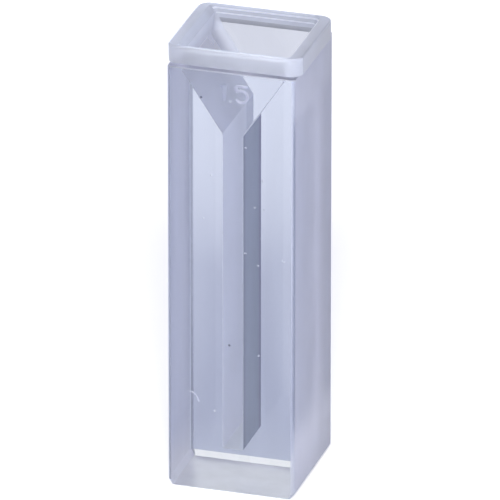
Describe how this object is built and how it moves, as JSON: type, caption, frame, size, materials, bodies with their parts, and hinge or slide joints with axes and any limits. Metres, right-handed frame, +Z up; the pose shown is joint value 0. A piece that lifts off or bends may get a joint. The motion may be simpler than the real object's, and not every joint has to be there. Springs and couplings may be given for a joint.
{
  "type": "cuvette",
  "caption": "Square semi-micro cuvette of clear plastic with a narrow slot chamber, a funnel mouth and a stepped rim, moulded in one piece.",
  "frame": {"origin": "centre of the underside, where the cuvette stands", "axes": "+Z up towards the open mouth, +Y along the light path from the front window to the back window, +X across the satin sides to the right of someone who looks at the marked front window"},
  "size_m": [0.0132, 0.0126, 0.045],
  "materials": {
    "clear_plastic": "clear moulded polystyrene with a faint blue tint: polished windows, satin sides, chamber walls and rim"
  },
  "bodies": {
    "root": {"cuvette": "clear_plastic"}
  },
  "joints": []
}
